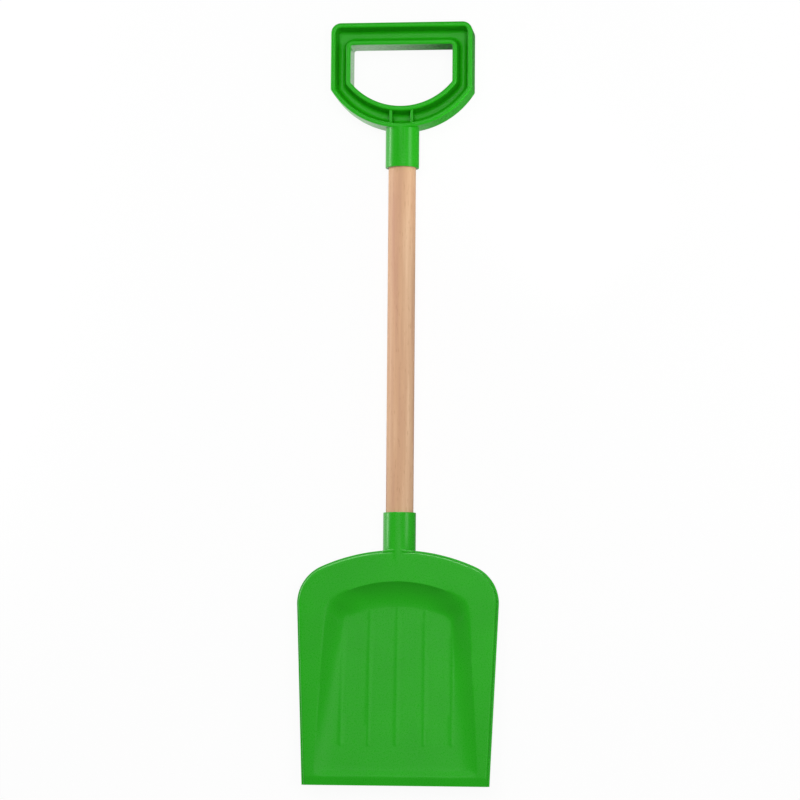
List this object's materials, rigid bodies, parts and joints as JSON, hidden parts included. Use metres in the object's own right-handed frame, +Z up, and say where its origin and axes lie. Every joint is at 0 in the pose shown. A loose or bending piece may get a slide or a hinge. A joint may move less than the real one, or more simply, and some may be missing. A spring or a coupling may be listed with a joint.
{
  "type": "sand shovel",
  "caption": "Child's long-handled sand shovel: flanged plastic scoop with ribbed floor and a plastic D-grip, socketed on a round wooden shaft.",
  "frame": {"origin": "on the ground under the middle of the shovel, which lies on its back", "axes": "+Y along the shaft towards the grip, +Z up out of the scoop's open front, +X to the right seen from the front with the grip on top"},
  "size_m": [0.1608, 0.6092, 0.0323],
  "materials": {
    "green_polypropylene": "injection-moulded, satin gloss",
    "beech": "sanded dowel, clear sealed",
    "zinc_steel": "zinc plated"
  },
  "bodies": {
    "root": {"blade": "green_polypropylene", "shaft": "beech", "grip": "green_polypropylene", "blade_screw": "zinc_steel", "grip_screw": "zinc_steel"}
  },
  "joints": []
}
